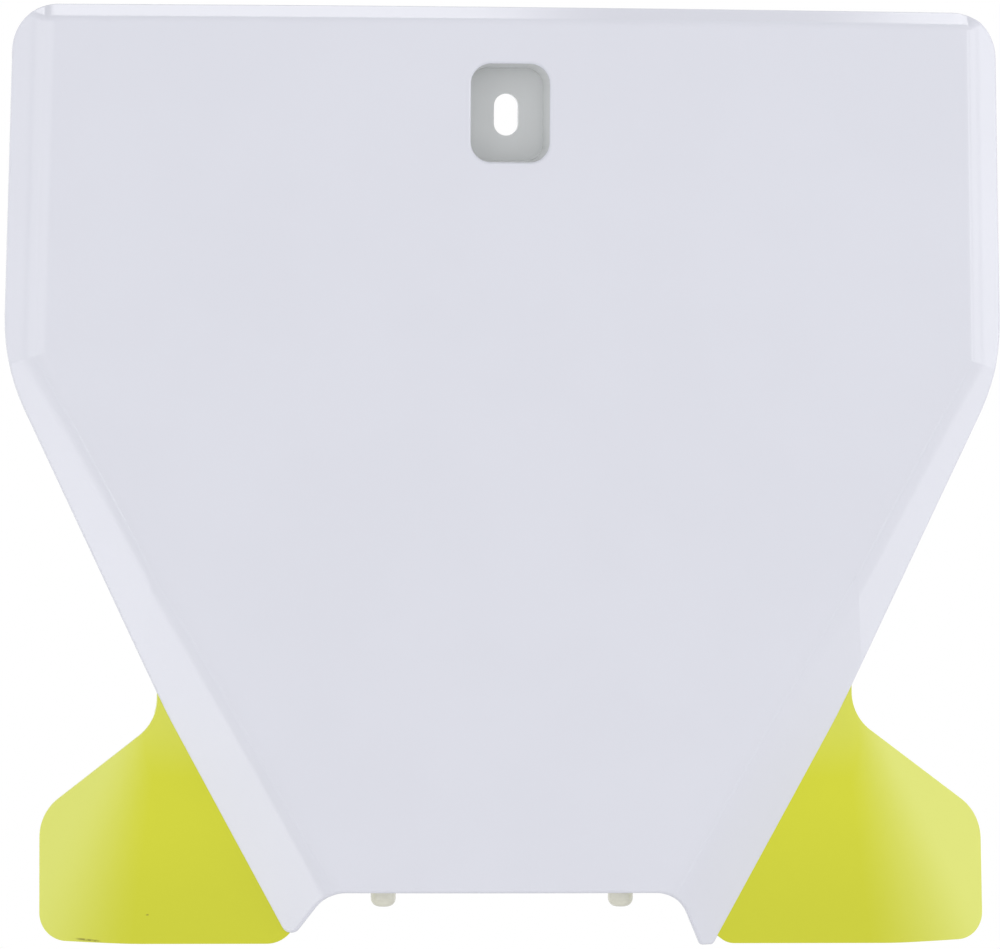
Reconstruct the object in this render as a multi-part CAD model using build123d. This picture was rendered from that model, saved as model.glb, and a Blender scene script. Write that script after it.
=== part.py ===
from build123d import *
from math import asin, cos, degrees, radians, sin, sqrt, tan
import os

# Front number board of a motocross bike, in millimetres.
# The front faces -Y, +X is to the right seen from the front, and +Z is up.
# The origin is the middle of the screw slot, on the rear seat of the screw boss.

# Outline of the white panel, seen from the front
top_width = 257.6
panel_width = 262.0
top_z = 27.7
side_corner_z = -66.3
seam_top_z = -158.2
seam_top_width = 175.2
notch_z = -203.2
seam_notch_width = 126.2
top_corner_radius = 12.0
side_corner_radius = 55.0
seam_corner_radius = 30.0

# Notch in the lower edge and the tongues beside it
notch_corner_radius = 9.0
left_tongue_angle = 54.5
right_tongue_angle = 65.5
left_tongue_drop = 10.9
right_tongue_drop = 14.1
left_tip_width = 3.0
right_tip_width = 3.6
left_tip_radius = 2.4
right_tip_radius = 1.2

# Section of the panel
wall = 2.5
face_radius = 1000.0
rim_depth = 14.0
top_bevel_height = 3.8
top_bevel_depth = 4.5
side_bevel_width = 7.9
crease_radius = 2.0
edge_radius = 0.8

# Flanks, seen from the front: heights of their creases, widths between crease and outline
side_crease_z = -64.0
middle_crease_z = -120.0
root_crease_z = -144.0
middle_flank_width = 13.1
notch_flank_width = 18.1
flank_depth = 8.2

# Screw recess near the top
recess_width = 20.7
recess_height = 25.7
recess_corner_radius = 5.3
recess_depth = 14.0
recess_draft = 3.0
recess_lip_radius = 0.8
seat_wall = 3.0
slot_width = 6.4
slot_height = 11.0

# Holding lugs behind the lower edge
lug_spacing = 62.4
lug_diameter = 6.6
lug_below_notch = 4.3
lug_length = 13.5
lug_setback = 12.0
lug_end_radius = 2.2
bracket_width = 11.0
bracket_wall = 3.0
bracket_rib_height = 14.0

# Yellow wings, of which the right one starts higher and reaches farther out
left_wing_inset = 10.0
right_wing_inset = 3.2
left_root_lift = -0.8
right_root_lift = 0.9
left_root_step = 3.0
right_root_step = 4.3
rim_end_rise = 11.2
wing_below_notch = 13.8
wing_side_height = 33.4
wing_bend_sweep = 24.0
foot_bend_step = 10.9
foot_bend_radius = 85.0
root_bend_step = 0.5
root_bend_radius = 10.0
wing_wall = 2.5
wing_root_radius = 12.5
wing_shoulder_radius = 13.0
wing_foot_radius = 7.0
wing_foot_rise = 0.9
wing_foot_run = 24.0
wing_sole_radius = 150.0
left_inner_radius = 8.0
right_inner_radius = 5.6
left_foot_lap = 8.0
right_foot_lap = 4.0
seam_lap = 4.0
seam_rib_width = 3.0
seam_rib_depth = 5.5

# Limits on a normal's Y that tell faces of the front from side walls
front_limit = 0.3
side_limit = 0.05

# Creases softer than this angle stay unrounded
soft_crease_angle = 6.0

# Places that follow from the sizes above
face_y = -(recess_depth + seat_wall)
axis_y = face_y + face_radius
reach = 2 * panel_width
lug_y = face_y + lug_setback
lug_end_z = notch_z - lug_below_notch
lug_top_z = lug_end_z + lug_length
wing_bottom_z = notch_z - wing_below_notch
wing_shoulder_z = wing_bottom_z + wing_side_height
rim_end_z = seam_top_z + rim_end_rise
wing_base_z = wing_bottom_z - wing_foot_radius
top_corner = (top_width / 2, top_z)
side_corner = (panel_width / 2, side_corner_z)
seam_top = (seam_top_width / 2, seam_top_z)
seam_notch = (seam_notch_width / 2, notch_z)


def face_y_at(x):
    """Depth of the convex face at a distance x from the middle."""
    return axis_y - sqrt(face_radius**2 - x**2)


def along(start, end, z):
    """Half width at height z on the line through two (half width, z) points."""
    share = (z - start[1]) / (end[1] - start[1])
    return start[0] + share * (end[0] - start[0])


def facet(p, q, r):
    """Plane through three points of the front, facing the front."""
    normal = (q - p).cross(r - p).normalized()
    if normal.Y > 0:
        normal = -normal
    return Plane(origin=p, z_dir=normal)


def facet_y(plane, x, z):
    """Depth of a facet at a point seen from the front."""
    n = plane.z_dir
    p = plane.origin
    return p.Y - (n.X * (x - p.X) + n.Z * (z - p.Z)) / n.Y


def crease_point(half_width, z):
    return Vector(half_width, face_y_at(half_width), z)


def flank_facets():
    """Side bevel, upper flank and lower flank of the right half."""
    side_x = along(top_corner, side_corner, side_crease_z)
    middle_x = along(side_corner, seam_top, middle_crease_z)
    notch_crease = crease_point(seam_notch[0] - notch_flank_width, notch_z)
    middle_crease = crease_point(middle_x - middle_flank_width, middle_crease_z)
    side_crease = crease_point(side_x - side_bevel_width, side_crease_z)
    top_crease = crease_point(top_corner[0] - side_bevel_width, top_z)
    notch_edge = Vector(seam_notch[0], notch_crease.Y + flank_depth, notch_z)
    lower = facet(notch_crease, middle_crease, notch_edge)
    root_x = along(side_corner, seam_top, root_crease_z)
    root_edge = Vector(root_x, facet_y(lower, root_x, root_crease_z), root_crease_z)
    upper = facet(middle_crease, side_crease, root_edge)
    corner_edge = Vector(side_corner[0], facet_y(upper, *side_corner), side_corner_z)
    side = facet(side_crease, top_crease, corner_edge)
    return side, upper, lower


def rounded_face(corners):
    """Closed outline through (x, z, radius) corners."""
    points = [(x, z) for x, z, radius in corners]
    radii = [radius for x, z, radius in corners]
    return make_face(FilletPolyline(*points, radius=radii, close=True))


def through(sketch):
    """Prism of a front-view outline, from well before the face to well behind it."""
    return extrude(Plane.XZ.offset(-reach) * sketch, 2 * reach)


def panel_half(tongue_angle, tongue_drop, tip_width, tip_radius):
    """Corners of the right half of the panel, from the top to the notch."""
    tip_z = notch_z - tongue_drop
    tip_outer = along(seam_top, seam_notch, tip_z)
    tip_inner = tip_outer - tip_width
    notch_x = tip_inner - tongue_drop / tan(radians(tongue_angle))
    return [
        (*top_corner, top_corner_radius),
        (*side_corner, side_corner_radius),
        (*seam_top, seam_corner_radius),
        (tip_outer, tip_z, tip_radius),
        (tip_inner, tip_z, tip_radius),
        (notch_x, notch_z, notch_corner_radius),
    ]


def panel_outline():
    right = panel_half(right_tongue_angle, right_tongue_drop, right_tip_width, right_tip_radius)
    left = panel_half(left_tongue_angle, left_tongue_drop, left_tip_width, left_tip_radius)
    return rounded_face(right + [(-x, z, radius) for x, z, radius in reversed(left)])


def front_body(inset):
    """Body behind the front surfaces, with each surface moved back by the inset."""
    length = sqrt(top_bevel_height**2 + top_bevel_depth**2)
    out, up = top_bevel_height / length, top_bevel_depth / length
    bevel = out * face_radius + up * (top_z - top_bevel_height) - inset
    rim = top_z + top_bevel_height
    outer = face_radius - inset
    inner = face_radius - rim_depth - inset
    base = wing_bottom_z - rim_depth
    section = [
        (inner, base),
        (outer, base),
        (outer, (bevel - out * outer) / up),
        ((bevel - up * rim) / out, rim),
        (inner, rim),
    ]
    points = [(0, axis_y - r, z) for r, z in section]
    axis = Axis((0, axis_y, 0), (0, 0, 1))
    sweep = 4 * degrees(asin(panel_width / 2 / face_radius))
    body = revolve(make_face(Polyline(*points, close=True)), axis, sweep).rotate(axis, -sweep / 2)
    for plane in flank_facets():
        place = Plane(origin=plane.origin - plane.z_dir * inset, z_dir=plane.z_dir)
        block = place * Box(reach, reach, reach, align=(Align.CENTER, Align.CENTER, Align.MIN))
        body = body - block - mirror(block, Plane.YZ)
    return body


def looks_forward(face):
    return face.normal_at(face.center()).Y < -front_limit


def looks_sideways(face):
    return abs(face.normal_at(face.center()).Y) < side_limit


def shared_edges(faces, others):
    """Edges where a face of one group meets a face of the other."""
    far_edges = [edge for face in others for edge in face.edges()]
    edges = ShapeList()
    for face in faces:
        edges += [edge for edge in face.edges() if any(edge.is_same(far) for far in far_edges)]
    return edges


def is_clear(edge, face, other):
    """Whether two faces meet at an edge at more than the angle of a soft crease."""
    middle = edge.position_at(0.5)
    return face.normal_at(middle).get_angle(other.normal_at(middle)) > soft_crease_angle


def creases(body):
    """Edges between two faces that look to the front."""
    front = body.faces().filter_by(looks_forward)
    edges = ShapeList()
    for index, face in enumerate(front):
        for other in front[index + 1:]:
            edges += shared_edges([face], [other]).filter_by(lambda edge: is_clear(edge, face, other))
    return edges


def outline_edges(body):
    """Edges round the front of the panel."""
    front = body.faces().filter_by(looks_forward)
    sides = body.faces().filter_by(looks_sideways)
    return shared_edges(front, sides)


def panel_shell():
    """Face, rim and flanks: open at the back, with no rim below the roots of the wings."""
    outline = panel_outline()
    body = front_body(0)
    blank = fillet(creases(body), crease_radius) & through(outline)
    blank = fillet(outline_edges(blank), edge_radius)
    open_bottom = Pos(0, rim_end_z - reach / 2) * Rectangle(reach, reach)
    cavity = front_body(wall) & through(offset(outline, -wall) + open_bottom)
    return blank - cavity


def recess_outline(grow):
    width = recess_width + 2 * grow
    height = recess_height + 2 * grow
    return RectangleRounded(width, height, recess_corner_radius + grow)


def screw_boss():
    """Boss behind the face that carries the screw recess."""
    start = Plane(origin=(0, face_y + wall / 2, 0), x_dir=(1, 0, 0), z_dir=(0, 1, 0))
    return extrude(start * recess_outline(wall), -face_y - wall / 2, taper=recess_draft)


def screw_recess():
    """Drafted pocket in the face and the slot through its floor."""
    mouth = Plane(origin=(0, face_y, 0), x_dir=(1, 0, 0), z_dir=(0, 1, 0))
    pocket = extrude(mouth * recess_outline(0), recess_depth, taper=recess_draft)
    lead = extrude(mouth * recess_outline(0), -wall)
    slot = through(Rot(0, 0, 90) * SlotOverall(slot_height, slot_width))
    return pocket + lead + slot


def at_recess_mouth(edge):
    """Whether an edge lies where the walls of the recess meet the face."""
    middle = edge.center()
    inside = abs(middle.X) < (recess_width + wall) / 2 and abs(middle.Z) < (recess_height + wall) / 2
    return inside and abs(middle.Y - face_y) < wall / 2


def holding_lug(x):
    """Peg that points down into the fender, on a shelf and rib behind the panel."""
    front_y = face_y_at(x) + wall / 2
    shelf_back_y = lug_y + lug_diameter / 2 + bracket_wall / 2
    peg = Cylinder(lug_diameter / 2, lug_length, align=(Align.CENTER, Align.CENTER, Align.MIN))
    peg = fillet(peg.edges().sort_by(Axis.Z)[0], lug_end_radius)
    shelf = Box(
        bracket_width,
        shelf_back_y - front_y,
        bracket_wall,
        align=(Align.CENTER, Align.MIN, Align.MIN),
    )
    base_z = lug_top_z + bracket_wall / 2
    rib_points = [(0, front_y, base_z), (0, shelf_back_y, base_z), (0, front_y, base_z + bracket_rib_height)]
    rib = extrude(make_face(Polyline(*rib_points, close=True)), bracket_wall / 2, both=True)
    return Pos(x, lug_y, lug_end_z) * peg + Pos(x, front_y, lug_top_z) * shelf + Pos(x, 0, 0) * rib


def front_panel():
    panel = panel_shell() + screw_boss()
    for side in (-1, 1):
        panel += holding_lug(side * lug_spacing / 2)
    panel -= screw_recess()
    return fillet(panel.edges().filter_by(at_recess_mouth), recess_lip_radius)


def wing_outline(inset, root_step, root_lift, foot_lap, inner_radius):
    """Right wing seen from the front, with the lap that runs behind the white flank."""
    wing_reach = side_corner[0] - inset
    root_x = seam_top[0] + root_step
    lap_x = seam_top[0] - seam_lap
    return rounded_face([
        (root_x, rim_end_z, 0),
        (root_x, seam_top_z + root_lift, wing_root_radius),
        (wing_reach, wing_shoulder_z, wing_shoulder_radius),
        (wing_reach, wing_bottom_z + wing_foot_rise, wing_foot_radius),
        (wing_reach - wing_foot_run, wing_bottom_z, wing_sole_radius),
        (along(seam_top, seam_notch, wing_bottom_z) - foot_lap, wing_bottom_z, inner_radius),
        (lap_x, seam_top_z, 0),
        (lap_x, rim_end_z, 0),
    ])


def seam_strip():
    """Band along the seam, seen from the front, that the wing's rib fills."""
    edge = [
        (along(side_corner, seam_top, rim_end_z), rim_end_z),
        seam_top,
        (along(seam_top, seam_notch, wing_bottom_z), wing_bottom_z),
    ]
    outer = [(x + seam_rib_width, z) for x, z in edge]
    inner = [(x - seam_lap, z) for x, z in reversed(edge)]
    return make_face(Polyline(*outer, *inner, close=True))


def wing_front_y(z):
    """Depth of the flat part of the wing, flush with the edge of the white flank."""
    lower = flank_facets()[2]
    return facet_y(lower, along(seam_top, seam_notch, z), z)


def wing_section(z, bend_step, bend_radius, thickness):
    """Right wing cut at a height: flat beside the seam, then bent back round the fork."""
    bend_x = seam_top[0] + bend_step
    across, back = sin(radians(wing_bend_sweep)), cos(radians(wing_bend_sweep))
    back_radius = bend_radius - thickness
    front_bend = (bend_x + bend_radius * across, bend_radius - bend_radius * back)
    back_bend = (bend_x + back_radius * across, bend_radius - back_radius * back)
    outer = (reach * back, reach * across)
    front_end = (front_bend[0] + outer[0], front_bend[1] + outer[1])
    back_end = (back_bend[0] + outer[0], back_bend[1] + outer[1])
    edges = [
        Line((0, 0), (bend_x, 0)),
        RadiusArc((bend_x, 0), front_bend, -bend_radius),
        Line(front_bend, front_end),
        Line(front_end, back_end),
        Line(back_end, back_bend),
        RadiusArc(back_bend, (bend_x, thickness), back_radius),
        Line((bend_x, thickness), (0, thickness)),
        Line((0, thickness), (0, 0)),
    ]
    return Pos(0, wing_front_y(z), z) * make_face(Curve() + edges)


def wing_body(thickness):
    """Sheet from the foot of the right wing to its root, with a bend that widens downwards."""
    foot = wing_section(wing_base_z, foot_bend_step, foot_bend_radius, thickness)
    root = wing_section(rim_end_z, root_bend_step, root_bend_radius, thickness)
    return loft([foot, root], ruled=True)


def wing_beside(panel, outline_face):
    """Wing on the right of a panel, fitted to it along the seam."""
    outline = through(outline_face)
    sheet = wing_body(wing_wall) & outline
    rib = wing_body(seam_rib_depth) & outline & through(seam_strip())
    return sheet + rib - panel


def right_wing(panel):
    outline = wing_outline(
        right_wing_inset,
        right_root_step,
        right_root_lift,
        right_foot_lap,
        right_inner_radius,
    )
    return wing_beside(panel, outline)


def left_wing(panel):
    outline = wing_outline(
        left_wing_inset,
        left_root_step,
        left_root_lift,
        left_foot_lap,
        left_inner_radius,
    )
    return mirror(wing_beside(mirror(panel, Plane.YZ), outline), Plane.YZ)


board = front_panel()
os.makedirs("parts", exist_ok=True)
export_step(board, "parts/front_panel.step")
export_step(left_wing(board), "parts/left_wing.step")
export_step(right_wing(board), "parts/right_wing.step")
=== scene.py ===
from math import cos, radians, sin

import bpy
from mathutils import Matrix, Vector

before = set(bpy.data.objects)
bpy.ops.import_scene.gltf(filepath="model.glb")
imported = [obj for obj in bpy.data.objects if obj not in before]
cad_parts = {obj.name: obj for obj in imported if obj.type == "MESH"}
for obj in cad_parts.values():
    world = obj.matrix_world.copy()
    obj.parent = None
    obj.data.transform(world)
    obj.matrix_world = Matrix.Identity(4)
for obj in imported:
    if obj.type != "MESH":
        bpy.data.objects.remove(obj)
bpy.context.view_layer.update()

# Camera, in metres and degrees
AIM = Vector((0.0, -0.008, -0.095))
DISTANCE = 1.80
YAW = 4.85
PITCH = 1.2
ROLL = 0.35
METRES_PER_PIXEL = 0.00026146
IMAGE_WIDTH = 1000
IMAGE_HEIGHT = 949
PRINCIPAL_POINT = (505.5, 477.6)
SENSOR = 36.0

# Softboxes: name, place, direction of the long side, its length, depth and power
SOFTBOXES = [
    ("top_left_strip", (-0.105, 0.185, 0.92), (1.0, -0.30, 0.0), 0.39, 0.22, 0.81),
    ("top_right_strip", (0.51, 0.215, 0.92), (1.0, 0.30, 0.0), 0.42, 0.22, 1.00),
    ("left_wing_box", (-0.78, -1.00, 0.00), (1.0, -0.75, 0.0), 0.60, 0.35, 0.80),
    ("right_wing_box", (1.08, -0.76, 0.05), (0.58, 0.81, 0.0), 0.32, 0.40, 0.90),
    ("left_box", (-1.20, -0.60, 0.00), (0.45, -0.90, 0.0), 0.30, 0.50, 0.37),
    ("right_box", (1.25, -0.40, 0.00), (0.30, 0.95, 0.0), 0.35, 0.50, 1.15),
    ("left_low_box", (-0.95, -0.71, -0.61), (0.60, -0.80, 0.0), 0.40, 0.35, 0.95),
    ("right_low_box", (1.18, -0.43, -0.43), (0.40, 0.90, 0.0), 0.32, 0.32, 0.47),
]

# Light tent: level that lights the board, level in its gloss, share of both overhead, the fade to that
# by how far up a ray points, and the white that the camera sees
AMBIENT = 0.885
REFLECTED = 1.00
CEILING = 0.55
CEILING_FADE = (0.35, 0.95)
GROUND_WHITE = 1.0

# Floor: size, drop below the aim, share of plain white to the camera, and its finish
FLOOR_SIZE = 3.0
FLOOR_DROP = 0.75
FLOOR_WHITENESS = 0.7
FLOOR_ROUGHNESS = 0.9
FLOOR_CLOUD_SCALE = 3.0
FLOOR_PALE = (0.82, 0.82, 0.82)
FLOOR_DARK = (0.80, 0.80, 0.80)

# Colours of the plastics, among them a painted sheen on the yellow, painted shade in the recess, and
# painted shade with a painted yellow reflection on the lugs
WHITE = (0.785, 0.795, 0.875)
YELLOW = (0.71, 0.73, 0.010)
# Painted sheen: the pale yellow that stands in for gloss where the wings bend away and at their top
PAINTED_SHEEN_YELLOW = (0.77, 0.81, 0.16)
# Painted shade and a painted reflection of the yellow wings: the cream on the lugs
LUG_SHADE_AND_REFLECTION = (0.80, 0.79, 0.68)
# Painted shade: the greyer white in the recess round the slot
RECESS_SHADE_WHITE = (0.765, 0.78, 0.785)
DIRT = (0.17, 0.13, 0.01)

# Finish of the plastics: clouds as scale and darkest shade, grain as scale and strength
WHITE_ROUGHNESS = 0.16
YELLOW_ROUGHNESS = 0.38
WHITE_CLOUDS = (30.0, 0.99)
YELLOW_CLOUDS = (40.0, 0.985)
CLOUD_FADE = (0.35, 0.65)
WHITE_GRAIN = (900.0, 0.05)
YELLOW_GRAIN = (1100.0, 0.06)
GRAIN_DEPTH = 0.0002

# Where painted shade tints the white in the recess, and painted shade with a painted yellow reflection
# tints the lugs: centre, half width and soft margin of a band, or start and end of a fade
RECESS_ACROSS = (0.0, 0.0112, 0.001)
RECESS_UP = (0.0, 0.0137, 0.001)
RECESS_DEEP = (-0.0087, 0.0064, 0.0010)
LUG_ACROSS = (0.0312, 0.0036, 0.0006)
LUG_BACK = (-0.0105, -0.0090)
LUG_UP = (-0.190, -0.194)

# Folds between the curved face and the flanks: each flank by the half width and height of a point
# on its fold, and by its slopes across and up
FACE_RADIUS = 1.0
FLANKS = [
    (0.12305, -0.0640, 0.570, 0.0105),
    (0.09254, -0.1200, 0.504, -0.2156),
    (0.04500, -0.2032, 0.453, -0.2195),
]

# Change of slope at a fold, the width that it is spread over, and how far the modelled rounding reaches
FOLD_SLOPE = 0.45
FOLD_WIDTH = 0.0075
FOLD_REACH = 0.0004

# Fade, by how far a surface faces the back, that keeps folds and dirt to the front
FRONT_FADE = (0.0, -0.4)

# Fades of the yellow: up from its foot darkened by painted shade, toward its top paled by a painted
# sheen, and with the slant of its bend, where the painted sheen pales it too
FOOT_FADE = (-0.217, -0.175)
FOOT_SHADE = 0.91
SHEEN_TOP_FADE = (-0.180, -0.156)
SHEEN_TOP_SHARE = 0.5
SHEEN_BEND_FADE = (-0.10, 0.45)

# Marks of dirt at the foot of the left wing: bands across and up, slope and strength
DIRT_MARKS = [
    ((-0.1084, 0.0016, 0.0022), (-0.2160, 0.0001, 0.0003), -0.10, 0.7),
    ((-0.0930, 0.0002, 0.0003), (-0.2094, 0.0001, 0.0002), 0.0, 0.6),
]

# Patches of the dirt: scale of the noise, its fade, and the least and most dirt
DIRT_SCALE = 900.0
DIRT_FADE = (0.3, 0.5)
DIRT_RANGE = (0.4, 1.0)


def new_material(name):
    """Principled material, with its node tree, shader and texture coordinates."""
    material = bpy.data.materials.new(name)
    material.use_nodes = True
    tree = material.node_tree
    shader = tree.nodes["Principled BSDF"]
    coordinates = tree.nodes.new("ShaderNodeTexCoord").outputs
    return material, tree, shader, coordinates


def noise(tree, place, scale):
    """Soft noise, with about as many patches to the metre as its scale."""
    node = tree.nodes.new("ShaderNodeTexNoise")
    node.inputs["Scale"].default_value = scale
    tree.links.new(place, node.inputs["Vector"])
    return node.outputs["Fac"]


def ramp(tree, value, low, high, start=0.0, end=1.0):
    """Value mapped smoothly from low..high to start..end."""
    node = tree.nodes.new("ShaderNodeMapRange")
    node.interpolation_type = "SMOOTHSTEP"
    node.inputs["From Min"].default_value = low
    node.inputs["From Max"].default_value = high
    node.inputs["To Min"].default_value = start
    node.inputs["To Max"].default_value = end
    tree.links.new(value, node.inputs["Value"])
    return node.outputs["Result"]


def feed(tree, socket, value):
    """Set a socket from another socket, a plain colour or a plain number."""
    if isinstance(value, bpy.types.NodeSocket):
        tree.links.new(value, socket)
    elif isinstance(value, tuple):
        socket.default_value = (*value, 1.0)
    else:
        socket.default_value = value


def maths(tree, operation, *values):
    """One step of arithmetic on sockets and plain numbers."""
    node = tree.nodes.new("ShaderNodeMath")
    node.operation = operation
    for socket, value in zip(node.inputs, values):
        feed(tree, socket, value)
    return node.outputs["Value"]


def product(tree, first, *others):
    """Product of sockets and plain numbers."""
    for other in others:
        first = maths(tree, "MULTIPLY", first, other)
    return first


def axes(tree, vector):
    """The three parts of a vector as separate values."""
    node = tree.nodes.new("ShaderNodeSeparateXYZ")
    tree.links.new(vector, node.inputs["Vector"])
    return node.outputs["X"], node.outputs["Y"], node.outputs["Z"]


def within(tree, value, centre, half, soft):
    """One inside a band about a centre, fading to nothing over a soft margin."""
    offset = maths(tree, "ABSOLUTE", maths(tree, "SUBTRACT", value, centre))
    return ramp(tree, offset, half, half + soft, 1.0, 0.0)


def tint(tree, share, base, other):
    """Mix of two colours, either of them a socket or a plain colour."""
    node = tree.nodes.new("ShaderNodeMix")
    node.data_type = "RGBA"
    tree.links.new(share, node.inputs["Factor"])
    for name, colour in (("A", base), ("B", other)):
        socket = next(s for s in node.inputs if s.name == name and s.type == "RGBA")
        feed(tree, socket, colour)
    return next(s for s in node.outputs if s.type == "RGBA")


def shade(colour, factor):
    """Plain colour made darker by a factor."""
    return tuple(factor * channel for channel in colour)


def clouded(tree, place, colour, scale, darkest):
    """Colour with faint cloudy patches."""
    cloud = ramp(tree, noise(tree, place, scale), *CLOUD_FADE)
    return tint(tree, cloud, colour, shade(colour, darkest))


def bump(tree, height, strength=1.0, depth=1.0, normal=None):
    """Normal of a surface with a height over it, on top of an earlier normal if there is one."""
    node = tree.nodes.new("ShaderNodeBump")
    node.inputs["Strength"].default_value = strength
    node.inputs["Distance"].default_value = depth
    tree.links.new(height, node.inputs["Height"])
    if normal is not None:
        tree.links.new(normal, node.inputs["Normal"])
    return node.outputs["Normal"]


def grained(tree, place, scale, strength, normal=None):
    """Normal of a skin with a fine moulded grain."""
    return bump(tree, noise(tree, place, scale), strength, GRAIN_DEPTH, normal)


def front_share(tree, coordinates):
    """One on surfaces that face the front, fading to nothing on those that face the back."""
    to_back = axes(tree, coordinates["Normal"])[1]
    return ramp(tree, to_back, *FRONT_FADE)


def fold_height(tree, x, z, in_front):
    """Height, in metres, that spreads the folds round the face over their soft width."""
    aside = maths(tree, "ABSOLUTE", x)
    flank = None
    for x0, z0, out, up in FLANKS:
        start = x0**2 / (2 * FACE_RADIUS) - out * x0 - up * z0
        plane = maths(tree, "MULTIPLY_ADD", aside, out, maths(tree, "MULTIPLY_ADD", z, up, start))
        flank = plane if flank is None else maths(tree, "MAXIMUM", flank, plane)
    face = maths(tree, "DIVIDE", product(tree, x, x), 2 * FACE_RADIUS)
    step = maths(tree, "ABSOLUTE", maths(tree, "SUBTRACT", flank, face))
    away = maths(tree, "DIVIDE", step, FOLD_SLOPE)
    near = maths(tree, "MINIMUM", away, FOLD_REACH)
    arc = maths(tree, "DIVIDE", product(tree, near, near), 2 * FOLD_REACH)
    rounded = maths(tree, "ADD", arc, FOLD_REACH / 2)
    blunt = maths(tree, "ADD", maths(tree, "SUBTRACT", away, near), rounded)
    inside = maths(tree, "MAXIMUM", maths(tree, "SUBTRACT", FOLD_WIDTH / 2, blunt), 0.0)
    return product(tree, inside, inside, -FOLD_SLOPE / (2 * FOLD_WIDTH), in_front)


def white_plastic():
    """Glossy white polypropylene, with painted shade greying the recess and painted shade with a painted
    yellow reflection making the lugs cream.
    """
    material, tree, shader, coordinates = new_material("white_gloss")
    place = coordinates["Object"]
    x, y, z = axes(tree, place)
    colour = clouded(tree, place, WHITE, *WHITE_CLOUDS)
    # Painted shade: the white greys in the recess round the slot
    beside_slot = product(tree, within(tree, x, *RECESS_ACROSS), within(tree, z, *RECESS_UP))
    recess_shade_share = product(tree, beside_slot, within(tree, y, *RECESS_DEEP))
    colour = tint(tree, recess_shade_share, colour, RECESS_SHADE_WHITE)
    # Painted shade and a painted reflection of the yellow wings: the lugs turn cream
    low_behind = product(tree, ramp(tree, y, *LUG_BACK), ramp(tree, z, *LUG_UP))
    lug_shade_share = product(tree, low_behind, within(tree, maths(tree, "ABSOLUTE", x), *LUG_ACROSS))
    colour = tint(tree, lug_shade_share, colour, LUG_SHADE_AND_REFLECTION)
    folded = bump(tree, fold_height(tree, x, z, front_share(tree, coordinates)))
    normal = grained(tree, place, *WHITE_GRAIN, folded)
    shader.inputs["Roughness"].default_value = WHITE_ROUGHNESS
    tree.links.new(colour, shader.inputs["Base Color"])
    tree.links.new(normal, shader.inputs["Normal"])
    return material


def yellow_plastic():
    """Satin yellow plastic, with a painted sheen that makes it paler where it bends away and at its top,
    painted shade at its foot, and a little dirt at its foot.
    """
    material, tree, shader, coordinates = new_material("yellow_satin")
    place = coordinates["Object"]
    x, _, z = axes(tree, place)
    colour = clouded(tree, place, YELLOW, *YELLOW_CLOUDS)
    # Painted shade: the yellow darkens toward its foot
    colour = tint(tree, ramp(tree, z, *FOOT_FADE), shade(YELLOW, FOOT_SHADE), colour)
    # Painted sheen: the yellow pales where it bends away and at its top
    aslant = maths(tree, "ABSOLUTE", axes(tree, coordinates["Normal"])[0])
    top_sheen = ramp(tree, z, *SHEEN_TOP_FADE, 0.0, SHEEN_TOP_SHARE)
    painted_sheen = maths(tree, "MAXIMUM", ramp(tree, aslant, *SHEEN_BEND_FADE), top_sheen)
    colour = tint(tree, painted_sheen, colour, PAINTED_SHEEN_YELLOW)
    patches = ramp(tree, noise(tree, place, DIRT_SCALE), *DIRT_FADE, *DIRT_RANGE)
    patches = product(tree, patches, front_share(tree, coordinates))
    for across, up, slope, strength in DIRT_MARKS:
        lean = product(tree, maths(tree, "SUBTRACT", x, across[0]), slope)
        height = maths(tree, "SUBTRACT", z, lean)
        mark = product(tree, within(tree, x, *across), within(tree, height, *up), patches, strength)
        colour = tint(tree, mark, colour, DIRT)
    shader.inputs["Roughness"].default_value = YELLOW_ROUGHNESS
    tree.links.new(colour, shader.inputs["Base Color"])
    tree.links.new(grained(tree, place, *YELLOW_GRAIN), shader.inputs["Normal"])
    return material


def dress(node, material):
    """Give a piece of the board its material."""
    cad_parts[node].material_slots[0].material = material


def add_softbox(name, place, side, length, depth, power):
    """Softbox turned to the board, with its long side along a direction."""
    lamp = bpy.data.lights.new(name, "AREA")
    lamp.shape = "RECTANGLE"
    lamp.size = length
    lamp.size_y = depth
    lamp.energy = power
    box = bpy.data.objects.new(name, lamp)
    away = (Vector(place) - AIM).normalized()
    across = (Vector(side) - away * away.dot(Vector(side))).normalized()
    turned = Matrix((across, away.cross(across), away)).transposed()
    box.matrix_world = Matrix.Translation(place) @ turned.to_4x4()
    bpy.context.scene.collection.objects.link(box)


def choose(tree, share, first, second):
    """Mix of two shaders."""
    node = tree.nodes.new("ShaderNodeMixShader")
    for socket, value in zip(node.inputs, (share, first, second)):
        tree.links.new(value, socket)
    return node.outputs["Shader"]


def background(tree, level):
    """Plain white light, of a level that is a number or a socket."""
    node = tree.nodes.new("ShaderNodeBackground")
    node.inputs["Color"].default_value = (1.0, 1.0, 1.0, 1.0)
    feed(tree, node.inputs["Strength"], level)
    return node.outputs["Background"]


def add_world():
    """White ground to the camera, and a tent with a dimmer ceiling to the board."""
    world = bpy.data.worlds.new("studio")
    world.use_nodes = True
    tree = world.node_tree
    tree.nodes.remove(tree.nodes["Background"])
    path = tree.nodes.new("ShaderNodeLightPath").outputs
    upward = axes(tree, tree.nodes.new("ShaderNodeTexCoord").outputs["Generated"])[2]
    ambient = background(tree, ramp(tree, upward, *CEILING_FADE, AMBIENT, CEILING * AMBIENT))
    reflected = background(tree, ramp(tree, upward, *CEILING_FADE, REFLECTED, CEILING * REFLECTED))
    lit = choose(tree, path["Is Glossy Ray"], ambient, reflected)
    seen = choose(tree, path["Is Camera Ray"], lit, background(tree, GROUND_WHITE))
    tree.links.new(seen, tree.nodes["World Output"].inputs["Surface"])
    bpy.context.scene.world = world


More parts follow.
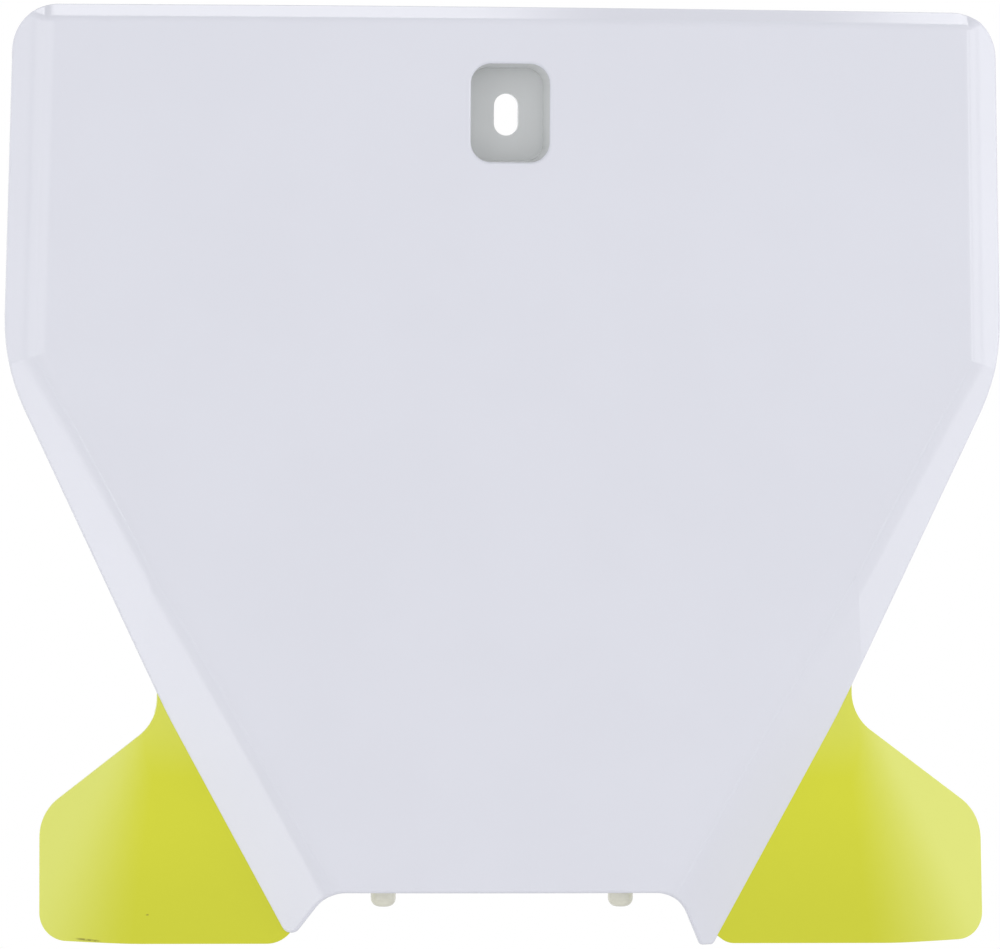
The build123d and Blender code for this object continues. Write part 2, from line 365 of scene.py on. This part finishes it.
def floor_material():
    """Pale matt floor, nearer to the white ground where the camera sees it."""
    material, tree, shader, coordinates = new_material("floor_white")
    shader.inputs["Roughness"].default_value = FLOOR_ROUGHNESS
    clouds = noise(tree, coordinates["Object"], FLOOR_CLOUD_SCALE)
    tree.links.new(tint(tree, clouds, FLOOR_PALE, FLOOR_DARK), shader.inputs["Base Color"])
    bright = tree.nodes.new("ShaderNodeEmission").outputs["Emission"]
    to_camera = tree.nodes.new("ShaderNodeLightPath").outputs["Is Camera Ray"]
    seen = choose(tree, product(tree, to_camera, FLOOR_WHITENESS), shader.outputs["BSDF"], bright)
    tree.links.new(seen, tree.nodes["Material Output"].inputs["Surface"])
    return material


def add_floor():
    """Floor well below the board, which hangs in front of a white ground."""
    half = FLOOR_SIZE / 2
    z = AIM.z - FLOOR_DROP
    corners = [(-half, -half, z), (half, -half, z), (half, half, z), (-half, half, z)]
    mesh = bpy.data.meshes.new("floor")
    mesh.from_pydata(corners, [], [(0, 1, 2, 3)])
    mesh.materials.append(floor_material())
    floor = bpy.data.objects.new("floor", mesh)
    bpy.context.scene.collection.objects.link(floor)


def add_camera():
    """Camera at the photograph's angle and framing."""
    yaw, pitch, roll = radians(YAW), radians(PITCH), radians(ROLL)
    back = Vector((-sin(yaw) * cos(pitch), -cos(yaw) * cos(pitch), sin(pitch)))
    right = Vector((0.0, 0.0, 1.0)).cross(back).normalized()
    up = back.cross(right)
    turned_right = right * cos(roll) + up * sin(roll)
    turned_up = up * cos(roll) - right * sin(roll)
    data = bpy.data.cameras.new("camera")
    data.sensor_fit = "HORIZONTAL"
    data.sensor_width = SENSOR
    data.lens = SENSOR * DISTANCE / METRES_PER_PIXEL / IMAGE_WIDTH
    data.shift_x = (IMAGE_WIDTH / 2 - PRINCIPAL_POINT[0]) / IMAGE_WIDTH
    data.shift_y = (PRINCIPAL_POINT[1] - IMAGE_HEIGHT / 2) / IMAGE_WIDTH
    camera = bpy.data.objects.new("camera", data)
    turned = Matrix((turned_right, turned_up, back)).transposed()
    camera.matrix_world = Matrix.Translation(AIM + back * DISTANCE) @ turned.to_4x4()
    bpy.context.scene.collection.objects.link(camera)
    bpy.context.scene.camera = camera


white = white_plastic()
yellow = yellow_plastic()
dress("front_panel", white)
dress("left_wing", yellow)
dress("right_wing", yellow)
add_floor()
add_world()
for softbox in SOFTBOXES:
    add_softbox(*softbox)
add_camera()
bpy.context.scene.view_settings.view_transform = "Standard"
